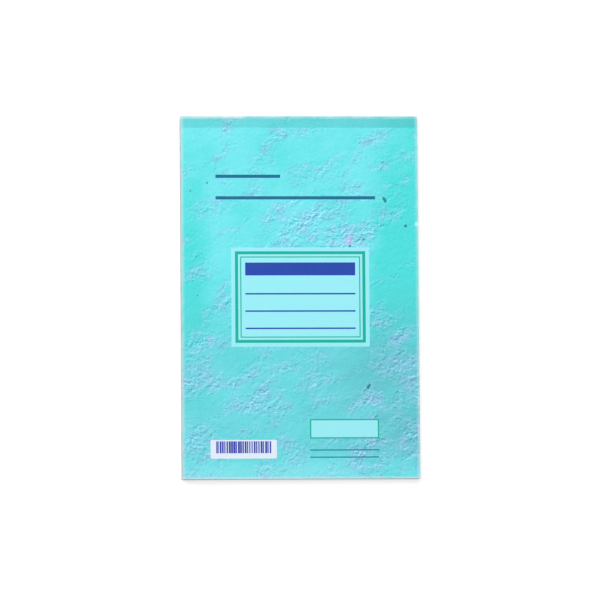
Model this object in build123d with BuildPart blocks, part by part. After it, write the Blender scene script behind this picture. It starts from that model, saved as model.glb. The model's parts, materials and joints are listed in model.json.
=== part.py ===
"""Duplicate receipt book: a stapled and glued pad of carbon-copy sets in a wrap-around card cover.

X runs across the page, Y up the page to the bound head, and Z up from the table that the book lies on.
The origin is under the middle of the book. Lengths are in millimetres.
"""

import os

from build123d import *

os.makedirs("parts", exist_ok=True)

# Trimmed size of the book and what its stack holds
book_width = 110.0
book_height = 168.0
set_count = 50
original_thickness = 0.075
duplicate_thickness = 0.07
carbon_thickness = 0.03
board_thickness = 0.9
cover_thickness = 0.2
glue_thickness = 0.1

# The bound head: where the cover and leaves turn, and how far the staples squeeze the margins
crease_from_head = 5.3
head_nip = 0.08
score_depth = 0.05
turn_in_width = 14.0

# The tear-off line of each original
perforation_from_head = 11.0
perforation_pitch = 1.8
tie_width = 0.6
cut_width = 0.25

# The loose carbon sheet stops short of the trimmed edges and of the tear-off line
carbon_edge_gap = 1.0
carbon_head_gap = 1.5

# Two flat-wire staples, crown on top and legs clinched inwards under the board
crown_length = 12.0
wire_width = 0.7
wire_thickness = 0.5
foot_length = 4.0
staple_spacing = 56.0
staple_from_head = 2.9
staple_clearance = 0.05

# Heights and page positions that follow from the values above
foot_y = -book_height / 2
head_y = book_height / 2
crease_y = head_y - crease_from_head
perforation_y = head_y - perforation_from_head
spine_inner_y = head_y - cover_thickness
block_head_y = spine_inner_y - glue_thickness
set_thickness = original_thickness + duplicate_thickness
leaves_top_z = board_thickness + set_count * set_thickness + carbon_thickness
bound_top_z = leaves_top_z - head_nip
band_top_z = bound_top_z + cover_thickness
staple_plane = Plane.XZ.offset(staple_from_head - head_y)


def flat_sheet(start_y, end_y, bottom_z, thickness, width):
    """A flat rectangle of stock that runs up the page from start_y to end_y."""
    with BuildPart() as stock:
        with BuildSketch(Plane.XY.offset(bottom_z)):
            with Locations((0, (start_y + end_y) / 2)):
                Rectangle(width, end_y - start_y)
        extrude(amount=thickness)
    return stock.part


def staple_outline(margin):
    """Front outline of one closed staple, with its wire grown by margin on every side."""
    height = bound_top_z - cover_thickness
    middle_z = cover_thickness + height / 2
    foot_gap = crown_length - 2 * foot_length
    with BuildSketch() as outline:
        with Locations((0, middle_z)):
            Rectangle(crown_length + 2 * margin, height + 2 * margin)
            Rectangle(
                crown_length - 2 * wire_thickness - 2 * margin,
                height - 2 * wire_thickness - 2 * margin,
                mode=Mode.SUBTRACT,
            )
        with Locations((0, cover_thickness)):
            Rectangle(foot_gap - 2 * margin, 4 * wire_thickness, mode=Mode.SUBTRACT)
    return outline.sketch


# Room for both staples, a little larger than their wire: slits, crown seats and clinch dents
with BuildPart() as staple_room:
    with BuildSketch(staple_plane):
        with GridLocations(staple_spacing, 0, 2, 1):
            add(staple_outline(staple_clearance))
    extrude(amount=wire_width / 2 + staple_clearance, both=True)

# Grey chipboard back, crushed along the head to take the cover's turn-in flush
with BuildPart() as back_board:
    with BuildSketch():
        with Locations((0, (foot_y + block_head_y) / 2)):
            Rectangle(book_width, block_head_y - foot_y)
    extrude(amount=board_thickness)
    with BuildSketch():
        with Locations((0, head_y - turn_in_width / 2)):
            Rectangle(book_width, turn_in_width)
    extrude(amount=cover_thickness, mode=Mode.SUBTRACT)
    add(staple_room.part, mode=Mode.SUBTRACT)
back_board.part.label = "back_board"
export_step(back_board.part, "parts/back_board.step")

# Head margins of all the sheets, glued and stapled into one block
with BuildPart() as bound_margins:
    with BuildSketch(Plane.XY.offset(board_thickness)):
        with Locations((0, (crease_y + block_head_y) / 2)):
            Rectangle(book_width, block_head_y - crease_y)
    extrude(amount=bound_top_z - board_thickness)
    add(staple_room.part, mode=Mode.SUBTRACT)
bound_margins.part.label = "bound_margins"
export_step(bound_margins.part, "parts/bound_margins.step")

# The two staples that hold the margins to the board, bent round on their outer corners
with BuildPart() as binding_staples:
    with BuildSketch(staple_plane):
        with BuildSketch(mode=Mode.PRIVATE) as bent_wire:
            add(staple_outline(0))
            outer_corners = bent_wire.vertices().group_by(Axis.X)
            fillet(outer_corners[0] + outer_corners[-1], wire_thickness)
        with GridLocations(staple_spacing, 0, 2, 1):
            add(bent_wire.sketch)
    extrude(amount=wire_width / 2, both=True)
binding_staples.part.label = "binding_staples"
export_step(binding_staples.part, "parts/binding_staples.step")

# Glue film between the head edge of the block and the cover's spine
with BuildPart() as head_glue_film:
    with BuildSketch(Plane.XY.offset(cover_thickness)):
        with Locations((0, block_head_y + glue_thickness / 2)):
            Rectangle(book_width, glue_thickness)
    extrude(amount=bound_top_z - cover_thickness)
head_glue_film.part.label = "head_glue_film"
export_step(head_glue_film.part, "parts/head_glue_film.step")

# The glued part of the cover card: front band, spine and the turn-in on the back, in one profile
with BuildPart() as cover_wrap:
    with BuildSketch(Plane.YZ) as wrap_profile:
        with Locations((crease_y + crease_from_head / 2, bound_top_z + cover_thickness / 2)):
            Rectangle(crease_from_head, cover_thickness)
        with Locations((spine_inner_y + cover_thickness / 2, band_top_z / 2)):
            Rectangle(cover_thickness, band_top_z)
        with Locations((head_y - turn_in_width / 2, cover_thickness / 2)):
            Rectangle(turn_in_width, cover_thickness)
        fillet(wrap_profile.vertices().group_by(Axis.X)[-1], cover_thickness)
    extrude(amount=book_width / 2, both=True)
    crease_edge = cover_wrap.edges().filter_by(Axis.X).group_by(Axis.Z)[-1].sort_by(Axis.Y)[0]
    chamfer(crease_edge, score_depth)
cover_wrap.part.label = "cover_wrap"
export_step(cover_wrap.part, "parts/cover_wrap.step")

# The front panel of the same card, which turns on the scored crease
with BuildPart() as front_cover:
    with BuildSketch(Plane.XY.offset(leaves_top_z)):
        with Locations((0, (foot_y + crease_y) / 2)):
            Rectangle(book_width, crease_y - foot_y)
    extrude(amount=cover_thickness)
    hinge_edge = front_cover.edges().filter_by(Axis.X).group_by(Axis.Z)[-1].sort_by(Axis.Y)[-1]
    chamfer(hinge_edge, score_depth)
front_cover.part.label = "front_cover"
export_step(front_cover.part, "parts/front_cover.step")

# First original: the stub that stays in the book, and the slip held to it by the perforation's ties
first_original_z = leaves_top_z - original_thickness
original_stub_01 = flat_sheet(perforation_y, crease_y, first_original_z, original_thickness, book_width)
original_stub_01.label = "original_stub_01"
export_step(original_stub_01, "parts/original_stub_01.step")

with BuildPart() as original_slip_01:
    tear_edge_y = perforation_y - cut_width
    tie_count = int(book_width // perforation_pitch)
    with BuildSketch(Plane.XY.offset(first_original_z)):
        with Locations((0, (foot_y + tear_edge_y) / 2)):
            Rectangle(book_width, tear_edge_y - foot_y)
        with Locations((0, tear_edge_y)):
            with GridLocations(perforation_pitch, 0, tie_count, 1):
                Rectangle(tie_width, 2 * cut_width)
    extrude(amount=original_thickness)
original_slip_01.part.label = "original_slip_01"
export_step(original_slip_01.part, "parts/original_slip_01.step")

# Loose carbon sheet, slipped under the first original
carbon_z = first_original_z - carbon_thickness
carbon_sheet = flat_sheet(
    foot_y + carbon_edge_gap,
    perforation_y - carbon_head_gap,
    carbon_z,
    carbon_thickness,
    book_width - 2 * carbon_edge_gap,
)
carbon_sheet.label = "carbon_sheet"
export_step(carbon_sheet, "parts/carbon_sheet.step")

# First duplicate, which stays in the book
duplicate_sheet_01 = flat_sheet(
    foot_y, crease_y, carbon_z - duplicate_thickness, duplicate_thickness, book_width
)
duplicate_sheet_01.label = "duplicate_sheet_01"
export_step(duplicate_sheet_01, "parts/duplicate_sheet_01.step")

# The other sets, from the second at the top to the last on the board: duplicate, slip and stub in each
for number in range(2, set_count + 1):
    duplicate_z = board_thickness + (set_count - number) * set_thickness
    original_z = duplicate_z + duplicate_thickness
    leaves = [
        flat_sheet(foot_y, crease_y, duplicate_z, duplicate_thickness, book_width),
        flat_sheet(foot_y, perforation_y, original_z, original_thickness, book_width),
        flat_sheet(perforation_y, crease_y, original_z, original_thickness, book_width),
    ]
    set_name = f"sheet_set_{number:02d}"
    export_step(Compound(label=set_name, children=leaves), f"parts/{set_name}.step")
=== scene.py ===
import json
import math
import random

import bpy
from mathutils import Matrix, Vector

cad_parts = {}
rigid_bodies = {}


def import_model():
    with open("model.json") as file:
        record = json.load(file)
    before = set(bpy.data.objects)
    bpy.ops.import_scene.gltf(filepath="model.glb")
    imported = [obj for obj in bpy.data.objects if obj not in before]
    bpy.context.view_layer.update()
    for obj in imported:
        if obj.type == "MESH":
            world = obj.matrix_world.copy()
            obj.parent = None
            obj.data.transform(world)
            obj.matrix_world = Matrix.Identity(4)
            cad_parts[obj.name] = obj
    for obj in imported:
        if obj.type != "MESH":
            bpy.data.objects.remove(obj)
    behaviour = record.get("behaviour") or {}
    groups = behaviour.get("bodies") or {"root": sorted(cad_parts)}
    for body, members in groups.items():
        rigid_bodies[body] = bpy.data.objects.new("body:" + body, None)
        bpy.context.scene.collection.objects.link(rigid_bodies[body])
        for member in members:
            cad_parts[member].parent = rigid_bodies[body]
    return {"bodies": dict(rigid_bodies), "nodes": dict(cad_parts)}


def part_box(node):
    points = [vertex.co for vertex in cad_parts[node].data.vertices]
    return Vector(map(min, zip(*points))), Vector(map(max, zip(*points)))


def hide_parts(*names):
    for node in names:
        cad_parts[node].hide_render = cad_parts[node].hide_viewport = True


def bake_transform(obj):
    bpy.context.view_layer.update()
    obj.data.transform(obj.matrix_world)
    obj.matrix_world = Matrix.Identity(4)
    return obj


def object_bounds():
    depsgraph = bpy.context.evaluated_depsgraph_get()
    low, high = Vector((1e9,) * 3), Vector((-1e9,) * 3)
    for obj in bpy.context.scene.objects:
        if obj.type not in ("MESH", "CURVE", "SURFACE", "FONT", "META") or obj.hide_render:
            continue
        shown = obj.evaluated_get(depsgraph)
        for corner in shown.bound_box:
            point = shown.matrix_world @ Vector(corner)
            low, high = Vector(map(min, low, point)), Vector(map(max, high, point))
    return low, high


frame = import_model()
cad_low, cad_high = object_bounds()


# Back board: a stiff sheet of grey chipboard, pulped from waste paper and trimmed together with the block.
# The staples are clinched into its underside, and the cover's turn-in is pressed flush into it at the head.
MM = 0.001
CM = 0.01


def srgb(red, green, blue):
    """A colour given in screen values, 0 to 255, as the linear colour that a shader takes."""
    shares = (red / 255, green / 255, blue / 255)
    linear = [s / 12.92 if s <= 0.04045 else ((s + 0.055) / 1.055) ** 2.4 for s in shares]
    return (*linear, 1.0)


class Finish:
    """A material being laid up. Most methods add a shader node and return its output socket."""

    def __init__(self, name):
        self.material = bpy.data.materials.new(name)
        self.material.use_nodes = True
        self.tree = self.material.node_tree
        self.shader = self.tree.nodes["Principled BSDF"]

    def feed(self, socket, value):
        """Links a socket to another node's output, or sets a plain value on it."""
        if isinstance(value, bpy.types.NodeSocket):
            self.tree.links.new(value, socket)
        else:
            socket.default_value = value

    def set(self, **sockets):
        """Feeds the shader's own sockets, with underscores for the spaces in their names."""
        for name, value in sockets.items():
            self.feed(self.shader.inputs[name.replace("_", " ")], value)

    def node(self, kind, inputs=None, output=0, **settings):
        made = self.tree.nodes.new("ShaderNode" + kind)
        for name, value in settings.items():
            setattr(made, name, value)
        for name, value in (inputs or {}).items():
            self.feed(made.inputs[name], value)
        return made.outputs[output]

    def math(self, operation, first, second=0.0, clamp=False):
        return self.node("Math", {0: first, 1: second}, operation=operation, use_clamp=clamp)

    def times(self, first, second):
        return self.math("MULTIPLY", first, second)

    def plus(self, first, second, clamp=False):
        return self.math("ADD", first, second, clamp)

    def minus(self, first, second):
        return self.math("SUBTRACT", first, second)

    def over(self, value, limit):
        """1 where the value is over the limit, and 0 elsewhere."""
        return self.math("GREATER_THAN", value, limit)

    def under(self, value, limit):
        """1 where the value is under the limit, and 0 elsewhere."""
        return self.math("LESS_THAN", value, limit)

    def within(self, value, middle, reach):
        """1 where the value is no further than reach from the middle, and 0 elsewhere."""
        return self.node("Math", {0: value, 1: middle, 2: reach}, operation="COMPARE")

    def mix(self, share, below, above):
        return self.node("Mix", {0: share, 6: below, 7: above}, output=2, data_type="RGBA")

    def noise(self, place, scale, detail=2.0, grit=0.5, swirl=0.0):
        sockets = {"Vector": place, "Scale": scale, "Detail": detail, "Roughness": grit, "Distortion": swirl}
        return self.node("TexNoise", sockets)

    def step(self, value, low, high, bottom=0.0, top=1.0):
        """A smooth step from bottom to top as value goes from low to high."""
        sockets = {0: value, 1: low, 2: high, 3: bottom, 4: top}
        return self.node("MapRange", sockets, interpolation_type="SMOOTHSTEP")

    def stretch(self, place, turn, scale):
        """The place for a grain drawn out by scale along axes that are turned by degrees about Z."""
        sockets = {"Vector": place, "Rotation": (0, 0, math.radians(turn)), "Scale": scale}
        return self.node("Mapping", sockets, vector_type="TEXTURE")

    def bump(self, height, strength, depth):
        """Relief of that depth, in metres, on the shader's normal."""
        sockets = {"Height": height, "Strength": strength, "Distance": depth}
        self.set(Normal=self.node("Bump", sockets))


def object_place(finish):
    """The place on a rigid piece, in metres."""
    return finish.node("TexCoord", output=3)


def dress(node, finish):
    """Gives a carried-over node one finish all over."""
    piece = frame["nodes"][node]
    piece.data.materials.clear()
    piece.data.materials.append(finish.material)


BOARD_GREY = srgb(122, 120, 113)
BOARD_PALE = srgb(152, 149, 141)
DARK_FIBRE = srgb(84, 82, 78)
PALE_FIBRE = srgb(189, 186, 176)
PULP_PER_METRE = 260
BOARD_TOOTH_PER_METRE = 2400
FIBRE_DRAW = (1, 3, 1)
FIBRE_EDGE = 0.1
FIBRE_COVER = 0.7
chipboard = Finish("grey_chipboard")
board_place = object_place(chipboard)
pulp = chipboard.noise(board_place, PULP_PER_METRE, detail=6, grit=0.65)
board_colour = chipboard.mix(chipboard.step(pulp, 0.3, 0.7), BOARD_GREY, BOARD_PALE)


def strewn(ground, colour, turn, per_metre, rarity):
    """The board's colour with loose fibres on it that lie roughly along one direction, in degrees."""
    fibres = chipboard.noise(chipboard.stretch(board_place, turn, FIBRE_DRAW), per_metre, detail=3)
    return chipboard.mix(chipboard.step(fibres, rarity, rarity + FIBRE_EDGE, top=FIBRE_COVER), ground, colour)


board_colour = strewn(board_colour, DARK_FIBRE, turn=20, per_metre=1500, rarity=0.62)
board_colour = strewn(board_colour, PALE_FIBRE, turn=-35, per_metre=1300, rarity=0.63)
chipboard.set(Base_Color=board_colour, Roughness=chipboard.step(pulp, 0.2, 0.8, bottom=0.82, top=0.95))
board_tooth = chipboard.noise(board_place, BOARD_TOOTH_PER_METRE, detail=4)
chipboard.bump(board_tooth, strength=0.5, depth=0.05 * MM)
dress("back_board", chipboard)


# Sheets: fifty sets of a white original and a pale blue duplicate of thin writing paper, printed with a
# plain ruled form. Their head margins are glued and stapled, and each leaf bends up from the crease line.
stub_low, stub_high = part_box("original_stub_01")
first_duplicate_low, first_duplicate_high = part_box("duplicate_sheet_01")
margin_low, margin_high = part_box("bound_margins")
perforation_y = stub_low.y
crease_y = stub_high.y
foot_y = cad_low.y
half_width = cad_high.x
original_stock = stub_high.z - stub_low.z
duplicate_stock = first_duplicate_high.z - first_duplicate_low.z
board_top = margin_low.z
leaves_top = stub_high.z
press = (margin_high.z - board_top) / (leaves_top - board_top)
PRESS_RUN = 3 * MM
AIR = 0.008 * MM
TRIM_SCATTER = 0.05 * MM
BEND_ROWS = 12
SHARP_ANGLE = 35
random.seed(50)


def ease(share):
    """A share from 0 to 1, eased at both ends."""
    share = min(1.0, max(0.0, share))
    return share * share * (3 - 2 * share)


def pressed(height, y):
    """Height in the stack at a place up the page: glue and staples squeeze the margins past the crease."""
    squeezed = board_top + (height - board_top) * press
    return height + (squeezed - height) * ease((y - crease_y) / PRESS_RUN + 1)


def lengths_along(line):
    """The length of a line of (y, z) points up to each of them."""
    lengths = [0.0]
    for before, after in zip(line, line[1:]):
        lengths.append(lengths[-1] + math.dist(before, after))
    return lengths


def sheet_faces(last_row, last_column):
    """The outer faces, back faces and edge faces of a closed sheet, on two layers of rows of points."""

    def point(layer, i, j):
        return (layer * (last_row + 1) + i) * (last_column + 1) + j

    outer = []
    back = []
    for i in range(last_row):
        for j in range(last_column):
            ring = [(i, j), (i, j + 1), (i + 1, j + 1), (i + 1, j)]
            outer.append([point(0, *place) for place in ring])
            back.append([point(1, *place) for place in ring[::-1]])
    border = [(0, j) for j in range(last_column)] + [(i, last_column) for i in range(last_row)]
    border += [(last_row, j) for j in range(last_column, 0, -1)] + [(i, 0) for i in range(last_row, 0, -1)]
    edges = []
    for place, following in zip(border, border[1:] + border[:1]):
        edges.append([point(1, *place), point(1, *following), point(0, *following), point(0, *place)])
    return outer, back, edges


BACK_SHIFT = 40.0


def closed_sheet(name, face_line, stock, columns, half_width_at):
    """A sheet of stock whose outer face follows face_line, (y, z) points from the foot on, all closed in.

    Its UV map "page" holds centimetres: across from the middle, and along the sheet from the foot. The back
    is shifted across, so that nothing prints there. The outer face has material 0, the back and edges 1.
    """
    last_row = len(face_line) - 1
    along = lengths_along(face_line)
    points = []
    page = []
    for depth in (0, stock):
        for i, (y, z) in enumerate(face_line):
            before = face_line[max(i - 1, 0)]
            after = face_line[min(i + 1, last_row)]
            reach = math.dist(before, after)
            inward_y = (after[1] - before[1]) / reach
            inward_z = (before[0] - after[0]) / reach
            for share in columns:
                x = share * half_width_at(along[i])
                points.append((x, y + inward_y * depth, z + inward_z * depth))
                page.append((x / CM, along[i] / CM))

    outer, back, edges = sheet_faces(last_row, len(columns) - 1)
    back_start = len(outer)
    edge_start = back_start + len(back)
    mesh = bpy.data.meshes.new(name)
    mesh.from_pydata(points, [], outer + back + edges)
    layout = mesh.uv_layers.new(name="page")
    for polygon in mesh.polygons:
        shift = BACK_SHIFT if back_start <= polygon.index < edge_start else 0.0
        polygon.material_index = 0 if polygon.index < back_start else 1
        polygon.use_smooth = True
        for index in polygon.loop_indices:
            across, up = page[mesh.loops[index].vertex_index]
            layout.data[index].uv = (across + shift, up)
    mesh.set_sharp_from_angle(angle=math.radians(SHARP_ANGLE))
    piece = bpy.data.objects.new(name, mesh)
    bpy.context.scene.collection.objects.link(piece)
    return piece


def page_place(finish):
    """The place on a printed sheet, in centimetres across from the middle and up from the foot."""
    return finish.node("UVMap", uv_map="page")


# the form's layout is in millimetres, each area by its middle and its size on the page
PAGE_MM = 10
TINTED_BOXES = [((-31, 145), (36, 12)), ((-28, 27), (40, 12))]
PLAIN_BOXES = [((33, 148), (32, 7))] + [((across, 133), (10, 7)) for across in (23, 34, 45)]
BOX_LINE = 0.3
RULED_AREA = ((0, 85), (98, 78))
FIRST_RULE = 46
RULE_SPACING = 11
RULE_LINE = 0.25
SIGNING_LINE = ((28, 22), (40, 0.3))
PERFORATION_PITCH = 1.8
PERFORATION_WIDTH = 0.24
TIE_SHARE = 0.34
CUT_PAINTED_SHADOW = srgb(120, 116, 108)
TRIM_BLEED = 0.02


def patch(finish, across, up, middle, size):
    """A mask of a rectangle on the page, by its middle and size in millimetres."""
    wide = finish.within(across, middle[0] / PAGE_MM, size[0] / 2 / PAGE_MM)
    tall = finish.within(up, middle[1] / PAGE_MM, size[1] / 2 / PAGE_MM)
    return finish.times(wide, tall)


def outline(finish, across, up, middle, size, line):
    """A mask of a rectangle's outline, with its line inside the rectangle."""
    whole = patch(finish, across, up, middle, size)
    inside = patch(finish, across, up, middle, (size[0] - 2 * line, size[1] - 2 * line))
    return finish.minus(whole, inside)


def ruled_form(finish, across, up, ground, ink, tint):
    """The form on its ground: boxes for number, date and amount, lines to write on and one to sign on."""
    for middle, size in TINTED_BOXES:
        ground = finish.mix(patch(finish, across, up, middle, size), ground, tint)
    for middle, size in TINTED_BOXES + PLAIN_BOXES:
        ground = finish.mix(outline(finish, across, up, middle, size, BOX_LINE), ground, ink)
    from_first = finish.minus(up, FIRST_RULE / PAGE_MM)
    row = finish.math("FRACT", finish.math("DIVIDE", from_first, RULE_SPACING / PAGE_MM))
    rules = finish.times(
        finish.under(row, RULE_LINE / RULE_SPACING), patch(finish, across, up, *RULED_AREA),
    )
    ground = finish.mix(rules, ground, ink)
    return finish.mix(patch(finish, across, up, *SIGNING_LINE), ground, ink)


def perforated(finish, across, up, ground):
    """The row of fine cuts along the tear-off line, with ties of whole paper between them."""
    tear_line = (perforation_y - foot_y) / CM
    on_line = finish.within(up, tear_line, PERFORATION_WIDTH / 2 / PAGE_MM)
    along_row = finish.math("FRACT", finish.math("DIVIDE", across, PERFORATION_PITCH / PAGE_MM))
    cuts = finish.times(on_line, finish.over(along_row, TIE_SHARE))
    # painted shadow: the cuts are coloured grey for the shade seen in the slits
    return finish.mix(cuts, ground, CUT_PAINTED_SHADOW)


def shaded(colour, share):
    """A colour at a share of its brightness."""
    return (*[level * share for level in colour[:3]], 1.0)


PAPER_MATT = 0.85
PAPER_SHADE = 0.95
SHEET_VARIETY = 0.5
FIBRE_TURN = 12
PAPER_FIBRE_DRAW = (1, 2, 1)
FIBRES_PER_CM = 22
PAPER_TOOTH_PER_CM = 90
KNIFE_MARKS_PER_CM = 2.2
EDGE_SHADE = 0.72
STACK_PART = 0.7
SHEET_PART = 0.3
KNIFE_PART = 0.3


def trimmed(finish, place, across, up, ground, edge, sheet_shade):
    """The knife-cut edges, whose shade drifts through the stack, with marks of the knife across it."""
    from_middle = finish.math("ABSOLUTE", across)
    side_cut = finish.over(from_middle, half_width / CM - TRIM_BLEED / PAGE_MM)
    foot_cut = finish.under(up, TRIM_BLEED / PAGE_MM)
    front = finish.under(from_middle, BACK_SHIFT / 2)
    cut = finish.times(finish.math("MAXIMUM", side_cut, foot_cut), front)
    stack_shade = finish.node("ObjectInfo", output=1)
    shade = finish.plus(finish.times(stack_shade, STACK_PART), finish.times(sheet_shade, SHEET_PART))
    knife_marks = finish.noise(place, KNIFE_MARKS_PER_CM, detail=5, grit=0.7)
    knife_shade = finish.step(knife_marks, 0.35, 0.7, bottom=-KNIFE_PART, top=KNIFE_PART)
    shade = finish.plus(shade, knife_shade, clamp=True)
    return finish.mix(cut, ground, finish.mix(shade, edge, shaded(edge, EDGE_SHADE)))


def form_paper(name, place_on, paper, edge, ink, tint):
    """Writing paper with a plain ruled form and trimmed edges."""
    finish = Finish(name)
    place = place_on(finish)
    across = finish.node("SeparateXYZ", {0: place})
    up = across.node.outputs[1]
    fibre_place = finish.stretch(place, FIBRE_TURN, PAPER_FIBRE_DRAW)
    finish.fibre = finish.noise(fibre_place, FIBRES_PER_CM, detail=5, grit=0.6)
    sheet_shade = finish.node("ObjectInfo", output=5)
    darker = shaded(paper, PAPER_SHADE)
    colour = finish.mix(finish.step(finish.fibre, 0.35, 0.7, top=0.5), paper, darker)
    colour = finish.mix(finish.times(sheet_shade, SHEET_VARIETY), colour, darker)
    colour = ruled_form(finish, across, up, colour, ink, tint)
    colour = perforated(finish, across, up, colour)
    colour = trimmed(finish, place, across, up, colour, edge, sheet_shade)
    finish.set(Base_Color=colour, Roughness=PAPER_MATT)
    finish.bump(finish.noise(place, PAPER_TOOTH_PER_CM, detail=3), strength=0.15, depth=0.02 * MM)
    return finish


WHITE_STOCK = {
    "paper": srgb(240, 241, 237), "edge": srgb(230, 232, 228),
    "ink": srgb(96, 150, 170), "tint": srgb(222, 236, 238),
}
BLUE_STOCK = {
    "paper": srgb(204, 226, 240), "edge": srgb(206, 221, 230),
    "ink": srgb(92, 134, 172), "tint": srgb(184, 214, 234),
}
white_form = form_paper("white_form_paper", page_place, **WHITE_STOCK)
blue_form = form_paper("blue_form_paper", page_place, **BLUE_STOCK)


def leaf(name, top, stock, finish, nodes, bend, near_y=foot_y):
    """One leaf, from near_y up to the glued head edge, with rows of points over its bend length below the
    crease line.
    """
    rows = [near_y]
    rows += [crease_y - bend * (BEND_ROWS - i) / BEND_ROWS for i in range(BEND_ROWS + 1)]
    rows += [margin_high.y]
    face_line = [(y, pressed(top, y)) for y in rows]
    piece = closed_sheet(name, face_line, stock - AIR, (-1, 1), lambda along: half_width)
    for loop in piece.data.uv_layers["page"].data:
        loop.uv.y += (near_y - foot_y) / CM
    slide_x = random.uniform(0, TRIM_SCATTER)
    slide_y = random.uniform(0, TRIM_SCATTER)
    for vertex in piece.data.vertices:
        vertex.co.x -= math.copysign(slide_x, vertex.co.x)
        if vertex.co.y < crease_y - bend - TRIM_SCATTER:
            vertex.co.y += slide_y
    piece.data.materials.append(finish.material)
    for polygon in piece.data.polygons:
        polygon.material_index = 0
    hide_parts(*nodes)
    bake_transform(piece)
    return piece


FIRST_BEND = 6.3 * MM
LAST_BEND = 12 * MM
SHADE_DRIFT = 0.3
stack_shade = 0.5
set_bodies = sorted(body for body in frame["bodies"] if body.startswith("set_"))
for order, body in enumerate(set_bodies):
    number = body.removeprefix("set_")
    node = f"sheet_set_{number}"
    set_low, set_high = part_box(node)
    bend = FIRST_BEND + (LAST_BEND - FIRST_BEND) * order / len(set_bodies)
    nodes = [node, "bound_margins"]
    original = leaf(
        f"original_{number}", set_high.z, original_stock, white_form,
        nodes, bend,
    )
    duplicate_top = set_low.z + duplicate_stock
    duplicate = leaf(
        f"duplicate_{number}", duplicate_top, duplicate_stock, blue_form,
        nodes, bend,
    )
    stack_shade = min(1.0, max(0.0, stack_shade + random.uniform(-SHADE_DRIFT, SHADE_DRIFT)))
    for sheet in (original, duplicate):
        sheet.color = (stack_shade, stack_shade, stack_shade, 1.0)


# First set: the duplicate stays in the book under its original, of which the slip tears off along a row of
# perforations and the stub stays glued in. The slip's small ties reach across the cuts to the stub.
DUPLICATE_BEND = 6 * MM
STUB_BEND = 5.5 * MM
leaf(
    "duplicate_01", first_duplicate_high.z, duplicate_stock, blue_form,
    ["duplicate_sheet_01", "bound_margins"], DUPLICATE_BEND,
)
leaf(
    "stub_01", stub_high.z, original_stock, white_form,
    ["original_stub_01", "bound_margins"], STUB_BEND, near_y=perforation_y,
)


def slip_place(finish):
    """The place on the slip, a rigid piece, in the same centimetres as the other sheets' page map."""
    on_page = finish.node("Mapping", {
        "Vector": object_place(finish), "Location": (0, -foot_y / CM, 0), "Scale": (1 / CM, 1 / CM, 0),
    })
    facing = finish.node("SeparateXYZ", {0: finish.node("TexCoord", output=1)}, output=2)
    behind = finish.times(finish.under(facing, -0.5), BACK_SHIFT)
    shift = finish.node("CombineXYZ", {0: behind})
    return finish.node("VectorMath", {0: on_page, 1: shift}, operation="ADD")


slip_form = form_paper("white_slip_paper", slip_place, **WHITE_STOCK)
slip_form.set(Roughness=slip_form.step(slip_form.fibre, 0.2, 0.8, bottom=0.78, top=0.92))
dress("original_slip_01", slip_form)


# Carbon sheet: thin tissue coated with blue-black wax ink, loose under the first original. A strip along
# its head is left uncoated to hold it by, and use has rubbed the coat unevenly.
GRIP_STRIP = 7 * MM
GRIP_WANDER = 1.5 * MM
WAX_DARK = srgb(18, 18, 44)
WAX_RUBBED = srgb(32, 31, 66)
BARE_TISSUE = srgb(176, 174, 190)
RUBS_PER_METRE = 90
CREASES_PER_METRE = 120
carbon_head_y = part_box("carbon_sheet")[1].y
carbon = Finish("carbon_coat")
carbon_place = object_place(carbon)
rubbed = carbon.noise(carbon_place, RUBS_PER_METRE, detail=6, grit=0.7, swirl=0.6)
wax = carbon.mix(carbon.step(rubbed, 0.35, 0.7), WAX_DARK, WAX_RUBBED)
carbon_y = carbon.node("SeparateXYZ", {0: carbon_place}, output=1)
strip_edge = carbon.plus(carbon_y, carbon.times(rubbed, GRIP_WANDER))
strip = carbon.over(strip_edge, carbon_head_y - GRIP_STRIP)
carbon.set(
    Base_Color=carbon.mix(strip, wax, BARE_TISSUE),
    Roughness=carbon.step(rubbed, 0.3, 0.7, bottom=0.45, top=0.6),
)
carbon_creases = carbon.noise(carbon_place, CREASES_PER_METRE, detail=4, swirl=1.0)
carbon.bump(carbon_creases, strength=0.4, depth=0.15 * MM)
dress("carbon_sheet", carbon)


# Staples: two lengths of flattened, galvanised steel wire, driven through the margins and clinched under the
# board. The drawing die leaves fine lines along the wire.
DIE_LINES_PER_METRE = 9000
DIE_LINE_DRAW = (25, 1, 1)
ZINC_DULL = srgb(168, 170, 174)
ZINC_BRIGHT = srgb(204, 205, 207)
wire = Finish("galvanised_wire")
wire_place = wire.stretch(object_place(wire), 0, DIE_LINE_DRAW)
drawn = wire.noise(wire_place, DIE_LINES_PER_METRE, detail=3)
wire.set(
    Base_Color=wire.mix(wire.step(drawn, 0.3, 0.7), ZINC_DULL, ZINC_BRIGHT),
    Metallic=1.0,
    Roughness=wire.step(drawn, 0.2, 0.8, bottom=0.28, top=0.5),
)
wire.bump(drawn, strength=0.3, depth=0.01 * MM)
dress("binding_staples", wire)


# Head glue: a brushed film of white binding glue that dries to a cloudy, faintly yellow skin. It holds the
# head edge of the block to the inside of the cover's spine.
BRUSH_LINES_PER_METRE = 500
BRUSH_DRAW = (6.5, 1, 1)
GLUE_YELLOWED = srgb(222, 216, 196)
GLUE_CLOUDY = srgb(238, 234, 220)
glue = Finish("binding_glue")
glue_place = glue.stretch(object_place(glue), 0, BRUSH_DRAW)
brushed = glue.noise(glue_place, BRUSH_LINES_PER_METRE, detail=4)
glue.set(
    Base_Color=glue.mix(glue.step(brushed, 0.3, 0.7), GLUE_YELLOWED, GLUE_CLOUDY),
    Roughness=glue.step(brushed, 0.2, 0.8, bottom=0.4, top=0.6),
)
glue.bump(brushed, strength=0.4, depth=0.05 * MM)
dress("head_glue_film", glue)


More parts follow.
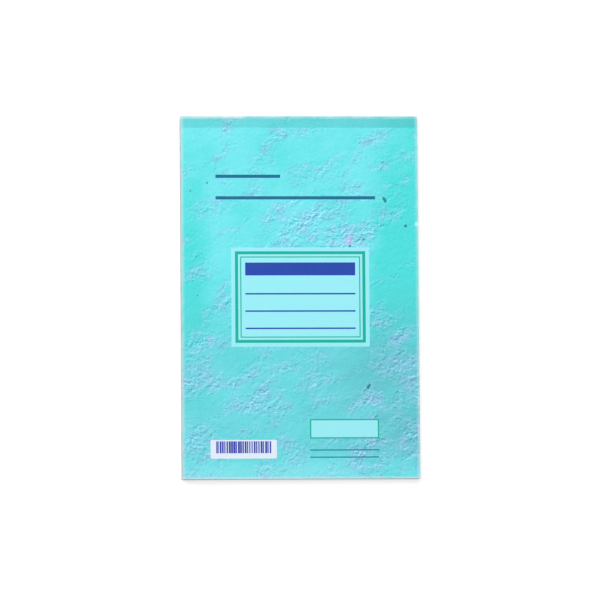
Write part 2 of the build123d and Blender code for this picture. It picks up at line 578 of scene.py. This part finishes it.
# Cover: one piece of thin white card, printed all over with a turquoise plaster texture and sealed. It is
# glued round the head from a band on the front to a turn-in on the back, and its front turns on a scored
# crease. Trimming bares the white card at the edges.
wrap_low, wrap_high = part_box("cover_wrap")
panel_low, panel_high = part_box("front_cover")
card_stock = panel_high.z - panel_low.z
FOLD_RADIUS = 0.45 * MM
FOLD_STEPS = 6
CORNER_ROUND = 1.1 * MM
CORNER_ROWS = 6
PANEL_ROWS = 28
SPINE_ROWS = 6
TURN_IN_ROWS = 8
COVER_COLUMNS = 40
CREASE_APPROACH = (1.2, 0.8, 0.5)
CREASE_STEP = ((0.35, 0.25), (0.22, 0.6), (0.1, 0.9))
CREASE_GROOVE = 0.06 * MM
GROOVE_SHARE = 0.08
BAND_FALL = 0.12 * MM
BAND_SHARES = (0.03, GROOVE_SHARE, 0.2, 0.4, 0.6, 0.8)


def fold_arc(middle_y, middle_z, start):
    """Points of a quarter turn of the card round a fold, from an angle in degrees, turning clockwise."""
    turns = [math.radians(start - 90 * i / FOLD_STEPS) for i in range(FOLD_STEPS + 1)]
    return [(middle_y + FOLD_RADIUS * math.cos(a), middle_z + FOLD_RADIUS * math.sin(a)) for a in turns]


# the card's outer face from the foot to the scored crease, where it steps down to the glued band: rows near
# the crease go by their millimetres short of it, and those of the step by their share of its height too
panel_rows = [foot_y + CORNER_ROUND * i / CORNER_ROWS for i in range(CORNER_ROWS + 1)]
panel_rows += [foot_y + (crease_y - foot_y) * i / PANEL_ROWS for i in range(1, PANEL_ROWS)]
panel_rows += [crease_y - reach * MM for reach in CREASE_APPROACH]
cover_line = [(y, panel_high.z) for y in panel_rows]
step_height = wrap_high.z - CREASE_GROOVE
for reach, share in CREASE_STEP:
    cover_line.append((crease_y - reach * MM, panel_high.z + (step_height - panel_high.z) * ease(share)))
crease_row = len(cover_line)
cover_line.append((crease_y, step_height))

# the glued band, the spine over the head edge and the turn-in on the back
band_end = wrap_high.y - FOLD_RADIUS
spine_top = wrap_high.z - BAND_FALL - FOLD_RADIUS
spine_bottom = wrap_low.z + FOLD_RADIUS
for share in BAND_SHARES:
    lift = CREASE_GROOVE * ease(share / GROOVE_SHARE) - BAND_FALL * share * share
    cover_line.append((crease_y + (band_end - crease_y) * share, step_height + lift))
cover_line += fold_arc(band_end, spine_top, 90)
for i in range(1, SPINE_ROWS):
    cover_line.append((wrap_high.y, spine_top + (spine_bottom - spine_top) * i / SPINE_ROWS))
cover_line += fold_arc(band_end, spine_bottom, 0)
for i in range(1, TURN_IN_ROWS + 1):
    cover_line.append((band_end + (wrap_low.y - band_end) * i / TURN_IN_ROWS, wrap_low.z))


def cover_half_width(along):
    """Half the card's width: the two corners at the foot are rounded by handling."""
    short = max(0.0, CORNER_ROUND - along)
    return half_width - CORNER_ROUND + math.sqrt(CORNER_ROUND ** 2 - short ** 2)


cover_columns = [-1 + 2 * i / COVER_COLUMNS for i in range(COVER_COLUMNS + 1)]
cover = closed_sheet("cover", cover_line, card_stock, cover_columns, cover_half_width)

# the print's places below are in centimetres on the page map, and its spots in millimetres
plaster = Finish("plaster_print")
plaster_place = page_place(plaster)
cover_x = plaster.node("SeparateXYZ", {0: plaster_place})
cover_s = cover_x.node.outputs[1]
crease_s = lengths_along(cover_line)[crease_row] / CM
on_band = plaster.over(cover_s, crease_s)


def away_from(spot):
    """Distance on the cover, in centimetres, from a spot given in millimetres."""
    middle = (spot[0] / PAGE_MM, spot[1] / PAGE_MM, 0)
    return plaster.node("VectorMath", {0: plaster_place, 1: middle}, output=1, operation="DISTANCE")


# broad tones: the print pale along the middle and foot and a stronger teal at the sides, and the colour
# darker and greyer in streaks low down, most towards the right
PALE = srgb(115, 231, 239)
TEAL = srgb(72, 221, 219)
GREYED = srgb(94, 190, 199)
FOOT_PALE = srgb(142, 228, 238)
TROWEL_TURN = 28
STREAK_DRAW = (2.8, 0.7, 1)
STREAKS_PER_CM = 0.75
DRIFTS_PER_CM = 0.45
right_side = plaster.times(plaster.step(cover_x, 2.6, 4.4), plaster.step(cover_s, 15.5, 12.0, bottom=0.4))
left_side = plaster.times(plaster.step(cover_x, -3.8, -5.0, top=0.8), plaster.step(cover_s, 15.0, 11.0))
side_share = plaster.times(plaster.plus(right_side, left_side), plaster.step(cover_s, 4.5, 7.0))
drift = plaster.noise(plaster_place, DRIFTS_PER_CM, detail=4, grit=0.6)
drift_share = plaster.step(drift, 0.38, 0.66, bottom=0.05, top=0.55)
ground = plaster.mix(plaster.plus(side_share, drift_share, clamp=True), PALE, TEAL)
low_share = plaster.times(plaster.step(cover_s, 10.0, 5.0), plaster.step(cover_s, 0.2, 1.6, bottom=0.3))
streak_place = plaster.stretch(plaster_place, TROWEL_TURN, STREAK_DRAW)
streak = plaster.noise(streak_place, STREAKS_PER_CM, detail=5, grit=0.62, swirl=0.3)
streak_share = plaster.times(
    plaster.step(streak, 0.26, 0.68, bottom=0.5, top=0.92), plaster.step(cover_x, -1.5, 4.5, bottom=0.5),
)
ground = plaster.mix(plaster.times(low_share, streak_share), ground, GREYED)
foot_share = plaster.times(plaster.step(cover_s, 1.1, 0.2, top=0.5), plaster.step(cover_x, 4.5, 1.0))
ground = plaster.mix(foot_share, ground, FOOT_PALE)

# rough patches among smooth trowelled ground, with a lavender bloom, each spot by its middle and its reach
LAVENDER = srgb(150, 190, 230)
PALE_BLOOM = srgb(186, 196, 238)
ROUGH_SPOTS = [
    ((26, 112), 34), ((-8, 113), 22), ((-50, 48), 24), ((46, 50), 30), ((-18, 40), 30), ((38, 18), 24),
    ((-48, 9), 20), ((-6, 7), 16), ((31, 160), 12), ((-20, 4), 10), ((7, 118), 20),
]
CALM_SPOT = ((49, 94), 30)
SPOT_RISE = 0.11
BAND_CALM = 0.06
PATCH_DRAW = (1.5, 0.85, 1)
PATCHES_PER_CM = 0.75
BLOOMS_PER_CM = 1.5
BLOOM_SPOT = (22.7, 110)


def spot_rise(middle, reach):
    """A hump round a spot on the cover, given with its reach in millimetres."""
    return plaster.step(away_from(middle), reach / PAGE_MM, 0.0, top=SPOT_RISE)


rough_place = plaster.stretch(plaster_place, TROWEL_TURN, PATCH_DRAW)
rough_field = plaster.noise(rough_place, PATCHES_PER_CM, detail=6, grit=0.62)
for rough_spot in ROUGH_SPOTS:
    rough_field = plaster.plus(rough_field, spot_rise(*rough_spot))
rough_field = plaster.minus(rough_field, spot_rise(*CALM_SPOT))
rough_field = plaster.minus(rough_field, plaster.times(on_band, BAND_CALM))
rough_share = plaster.step(rough_field, 0.48, 0.67)
bloom = plaster.noise(plaster_place, BLOOMS_PER_CM, detail=2)
bloom_share = plaster.times(plaster.step(bloom, 0.35, 0.68, bottom=0.2, top=0.65), rough_share)
ground = plaster.mix(bloom_share, ground, LAVENDER)
bloom_spot = plaster.step(away_from(BLOOM_SPOT), 0.34, 0.1, top=0.72)
ground = plaster.mix(bloom_spot, ground, PALE_BLOOM)

# crumbling relief, printed as it would be lit from the upper left: height here less height a little that way
CRUMB_HEIGHT = 0.35
CRUMBS_PER_CM = 3.4
GRAINS_PER_CM = 6.5
PITS_PER_CM = 7.5
PIT_SHARE = 0.5
SMOOTH_RELIEF = 0.14
ROUGH_RELIEF = 1.4
LIGHT_SHIFT = (-0.023, 0.044, 0.0)
RELIEF_LIGHT = (0.4, 0.64, 0.64)


def plaster_height(place):
    """Height of the plaster: crumbs with steep sides, over a fine grain."""
    crumb_field = plaster.noise(place, CRUMBS_PER_CM, detail=3, grit=0.55, swirl=0.5)
    crumbs = plaster.step(crumb_field, 0.4, 0.62, top=CRUMB_HEIGHT)
    return plaster.plus(crumbs, plaster.noise(place, GRAINS_PER_CM, detail=4, grit=0.6, swirl=0.4))


lit_place = plaster.node("VectorMath", {0: plaster_place, 1: LIGHT_SHIFT}, operation="ADD")
relief = plaster.minus(plaster_height(plaster_place), plaster_height(lit_place))
pits = plaster.minus(plaster.noise(plaster_place, PITS_PER_CM, detail=3, grit=0.65), 0.5)
relief = plaster.plus(relief, plaster.times(pits, PIT_SHARE))
relief_share = plaster.step(rough_field, 0.45, 0.74, bottom=SMOOTH_RELIEF, top=ROUGH_RELIEF)
relief = plaster.times(relief, relief_share)
relief_light = plaster.node("VectorMath", {0: RELIEF_LIGHT, 3: relief}, operation="SCALE")
ground = plaster.node("VectorMath", {0: ground, 1: relief_light}, operation="ADD")

# dark grains in the plaster, each by its middle and its size in millimetres and its lean in degrees
SPECKS = [
    ((39.4, 129.1), (2.8, 1.5), -60), ((49.1, 116.9), (1.4, 1.3), 0), ((29.4, 110.6), (1.5, 0.8), 50),
    ((23.2, 107.6), (1.6, 0.8), 50), ((31.3, 42.4), (2.7, 1.4), 58), ((-50.7, 133.2), (1.0, 0.5), 50),
    ((-42.9, 136.9), (1.1, 0.6), 50), ((-47.6, 84.7), (0.8, 0.4), 50),
]
SPECK_TEAL = srgb(0, 127, 137)
SPECK_EDGES_PER_CM = 12
speck_edge = plaster.noise(plaster_place, SPECK_EDGES_PER_CM, detail=2)
for middle, size, turn in SPECKS:
    offset = (-middle[0] / PAGE_MM, -middle[1] / PAGE_MM, 0)
    from_middle = plaster.node("VectorMath", {0: plaster_place, 1: offset}, operation="ADD")
    half_size = (size[0] / 2 / PAGE_MM, size[1] / 2 / PAGE_MM, 1)
    speck_place = plaster.stretch(from_middle, turn, half_size)
    reach = plaster.node("VectorMath", {0: speck_place}, output=1, operation="LENGTH")
    speck_share = plaster.step(plaster.plus(reach, speck_edge), 1.8, 1.2, top=0.95)
    ground = plaster.mix(speck_share, ground, SPECK_TEAL)

# plain printed areas, in millimetres: a framed label with rules to write on, heading rules, a small box with
# two rules under it, and a panel of bars
SEA_BLUE = srgb(4, 104, 142)
ROYAL_BLUE = srgb(26, 66, 167)
VIOLET = srgb(48, 62, 168)
FRAME_GREEN = srgb(0, 173, 152)
LABEL_TINT = srgb(156, 238, 247)
PANEL_WHITE = srgb(226, 236, 250)
LABEL = ((0, 84), (64, 46))
LABEL_BAR = ((0, 97), (51, 6))
LABEL_RULES = [((0, 85.5 - 8 * i), (51, 0.7)) for i in range(3)]
HEADING_RULES = [((-24, 140), (30, 1.5)), ((-2, 130), (74, 1.5))]
SMALL_BOX = ((20, 23), (32, 9))
SMALL_RULES = [((20, 13.2), (32, 0.5)), ((20, 9.9), (32, 0.5))]
BAR_PANEL = ((-26.7, 13.7), (30.6, 8.6))
BARS = ((-26.7, 14.6), (25.4, 5.5))
BAR_PITCH = 1.05
THINNEST_BAR = 0.5
BAR_SPREAD = 0.45
TINT_SHARE = 0.88


def on_cover(area):
    """A mask of an area of the cover, given by its middle and size."""
    return patch(plaster, cover_x, cover_s, *area)


def framed(ground, area, inset, line):
    """The ground with a green line round an area, inset from its rim."""
    middle, size = area
    inner_size = (size[0] - 2 * inset, size[1] - 2 * inset)
    return plaster.mix(outline(plaster, cover_x, cover_s, middle, inner_size, line), ground, FRAME_GREEN)


for area in (LABEL, SMALL_BOX):
    ground = plaster.mix(plaster.times(on_cover(area), TINT_SHARE), ground, LABEL_TINT)
ground = framed(ground, LABEL, inset=1.8, line=1.4)
ground = framed(ground, LABEL, inset=4.2, line=0.5)
ground = framed(ground, SMALL_BOX, inset=0.0, line=0.6)
for area in [LABEL_BAR] + LABEL_RULES:
    ground = plaster.mix(on_cover(area), ground, ROYAL_BLUE)
for area in HEADING_RULES + SMALL_RULES:
    ground = plaster.mix(on_cover(area), ground, SEA_BLUE)
ground = plaster.mix(on_cover(BAR_PANEL), ground, PANEL_WHITE)
bar_place = plaster.math("DIVIDE", cover_x, BAR_PITCH / PAGE_MM)
bar_draw = plaster.node("TexWhiteNoise", {"W": plaster.math("FLOOR", bar_place)}, noise_dimensions="1D")
bar_width = plaster.plus(plaster.times(bar_draw, BAR_SPREAD), THINNEST_BAR)
bars = plaster.under(plaster.math("FRACT", bar_place), bar_width)
ground = plaster.mix(plaster.times(bars, on_cover(BARS)), ground, VIOLET)

# the glued band is painted a little darker than the panel, as shade where it lies lower and tilts away
# from the light; the head fold and the edges are rubbed pale, most of all at a bare spot on the fold, and
# along the sides and the foot the pale rim is partly wear and partly a painted highlight on the rounded card
# edge;
# a small spot at the right edge is worn thin
BAND_PAINTED_SHADE = srgb(20, 120, 124)
RUBBED_AND_HIGHLIGHT_PALE = srgb(216, 232, 233)
WORN_THIN = srgb(178, 249, 253)
BARE_FOLD = -3.1
RUBS_PER_CM = 1.6
COVER_TOOTH_PER_CM = 45
WORN_SPOT = (54.3, 117.7)
WORN_CORE = 0.08
WORN_RIM = 0.17
WORN_FRAY = 0.06
# painted shade: the glued band is darkened, as it lies lower than the panel and tilts away from the light
band_painted_shade_share = plaster.step(cover_x, 0.0, 4.0, bottom=0.21, top=0.27)
ground = plaster.mix(plaster.times(on_band, band_painted_shade_share), ground, BAND_PAINTED_SHADE)
rub_noise = plaster.noise(plaster_place, RUBS_PER_CM, detail=6, grit=0.7)
fold_s = crease_s + (wrap_high.y - crease_y - FOLD_RADIUS / 4) / CM
from_fold = plaster.math("ABSOLUTE", plaster.minus(cover_s, fold_s))
from_bare = plaster.math("ABSOLUTE", plaster.minus(cover_x, BARE_FOLD))
from_middle = plaster.math("ABSOLUTE", cover_x)
left_rub = plaster.step(cover_x, -3.6, -3.9, top=0.3)
fold_rub = plaster.plus(left_rub, plaster.step(rub_noise, 0.35, 0.6, bottom=0.18, top=0.5))
fold_rub = plaster.plus(fold_rub, plaster.step(from_bare, 0.75, 0.35, top=0.45), clamp=True)
# along the sides and the foot the pale rim is partly wear and partly a painted highlight on the rounded card
# edge
side_rub_and_highlight = plaster.step(rub_noise, 0.35, 0.6, bottom=0.22, top=0.5)
foot_rub_and_highlight = plaster.step(rub_noise, 0.3, 0.6, bottom=0.3, top=0.65)
near_fold = plaster.step(from_fold, 0.16, 0.02)
near_side = plaster.step(from_middle, half_width / CM - 0.2, half_width / CM)
near_foot = plaster.step(cover_s, 0.13, 0.02)
for near_edge, rub in ((near_fold, fold_rub), (near_side, side_rub_and_highlight), (near_foot, foot_rub_and_highlight)):
    ground = plaster.mix(plaster.times(near_edge, rub), ground, RUBBED_AND_HIGHLIGHT_PALE)
worn = plaster.plus(away_from(WORN_SPOT), plaster.times(rub_noise, WORN_FRAY))
ground = plaster.mix(plaster.step(worn, WORN_RIM, WORN_CORE), ground, WORN_THIN)
plaster.set(
    Base_Color=ground,
    Roughness=plaster.step(rub_noise, 0.25, 0.75, bottom=0.45, top=0.6),
    Specular_IOR_Level=0.2,
)
cover_tooth = plaster.noise(plaster_place, COVER_TOOTH_PER_CM, detail=3)
plaster.bump(cover_tooth, strength=0.12, depth=0.03 * MM)

CARD_SHADE = srgb(226, 228, 224)
CARD_WHITE = srgb(244, 245, 242)
CARD_FIBRES_PER_CM = 30
card = Finish("white_card")
card_fibre = card.noise(page_place(card), CARD_FIBRES_PER_CM, detail=5, grit=0.65)
card.set(
    Base_Color=card.mix(card.step(card_fibre, 0.3, 0.7), CARD_SHADE, CARD_WHITE),
    Roughness=card.step(card_fibre, 0.2, 0.8, bottom=0.75, top=0.9),
)
card.bump(card_fibre, strength=0.2, depth=0.03 * MM)
cover.data.materials.append(plaster.material)
cover.data.materials.append(card.material)
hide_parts("cover_wrap", "front_cover")
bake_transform(cover)


# Studio: a white sweep for a floor, soft light from a large overhead lamp, a weaker fill lamp and a pale sky,
# and a camera far above the book that leans a little to the foot and the left, so that the trimmed edges
# just show.
WHITE = (1, 1, 1, 1)
HALF_FLOOR = 3.0
FLOOR_GAP = 0.02 * MM
FLOOR_GREY = 0.86
NEAR_FLOOR = 0.4
FAR_FLOOR = 1.2
NEAR_LIFT = 0.4
SKY_STRENGTH = 0.2


def seen(finish):
    """1 on rays that show the studio to the camera, mirrored and through glass too, and 0 on other rays."""
    camera_ray = finish.node("LightPath")
    rays = camera_ray.node.outputs
    plainly = finish.math("MAXIMUM", camera_ray, rays["Is Glossy Ray"])
    return finish.math("MAXIMUM", plainly, rays["Is Transmission Ray"])


floor_corners = [(x * HALF_FLOOR, y * HALF_FLOOR, 0) for x, y in ((-1, -1), (1, -1), (1, 1), (-1, 1))]
floor_mesh = bpy.data.meshes.new("floor")
floor_mesh.from_pydata(floor_corners, [], [(0, 1, 2, 3)])
floor = bpy.data.objects.new("floor", floor_mesh)
bpy.context.scene.collection.objects.link(floor)
floor.location.z = cad_low.z - FLOOR_GAP
sweep = Finish("white_sweep")
from_book = sweep.node("VectorMath", {0: object_place(sweep)}, output=1, operation="LENGTH")
floor_lift = sweep.step(from_book, NEAR_FLOOR, FAR_FLOOR, bottom=NEAR_LIFT)
sweep.set(
    Base_Color=(FLOOR_GREY, FLOOR_GREY, FLOOR_GREY, 1),
    Roughness=0.9,
    Emission_Color=WHITE,
    Emission_Strength=sweep.times(seen(sweep), floor_lift),
)
floor_mesh.materials.append(sweep.material)


class Sky(Finish):
    """The studio's sky, laid up on a world's background with the same methods."""

    def __init__(self, name):
        self.world = bpy.data.worlds.new(name)
        self.world.use_nodes = True
        self.tree = self.world.node_tree
        self.shader = self.tree.nodes["Background"]


sky = Sky("studio_sky")
sky.set(Color=WHITE, Strength=sky.node("MapRange", {0: seen(sky), 3: SKY_STRENGTH, 4: 1.0}))
bpy.context.scene.world = sky.world


def softbox(name, spot, size, power):
    """A square lamp that faces the middle of the book."""
    lamp = bpy.data.lights.new(name, "AREA")
    lamp.energy = power
    lamp.size = size
    stand = bpy.data.objects.new(name, lamp)
    bpy.context.scene.collection.objects.link(stand)
    stand.location = spot
    stand.rotation_euler = (-stand.location).to_track_quat("-Z", "Y").to_euler()


softbox("overhead_lamp", spot=(-0.3, 0.34, 1.05), size=1.0, power=11.0)
softbox("fill_lamp", spot=(0.6, -0.4, 0.9), size=0.9, power=3.5)

LENS = 338.0
SENSOR = 36.0
FAR_CLIP = 50.0
FRAME_WIDTH = 0.2772
LEAN_LEFT = math.radians(4.4)
LEAN_FOOT = math.radians(4.2)
ROLL = math.radians(0.42)
AIM_X = -0.2 * MM
AIM_Y = -1.4 * MM
camera_data = bpy.data.cameras.new("camera")
camera_data.lens = LENS
camera_data.sensor_width = SENSOR
camera_data.clip_end = FAR_CLIP
camera = bpy.data.objects.new("camera", camera_data)
bpy.context.scene.collection.objects.link(camera)
lean = Vector((-math.tan(LEAN_LEFT), -math.tan(LEAN_FOOT), 1)).normalized()
page_up = Vector((math.sin(ROLL), math.cos(ROLL), 0))
camera_right = page_up.cross(lean).normalized()
camera_up = lean.cross(camera_right)
camera.location = Vector((AIM_X, AIM_Y, panel_high.z)) + lean * FRAME_WIDTH * LENS / SENSOR
camera.rotation_euler = Matrix((camera_right, camera_up, lean)).transposed().to_euler()
bpy.context.scene.camera = camera
bpy.context.scene.view_settings.view_transform = "Standard"
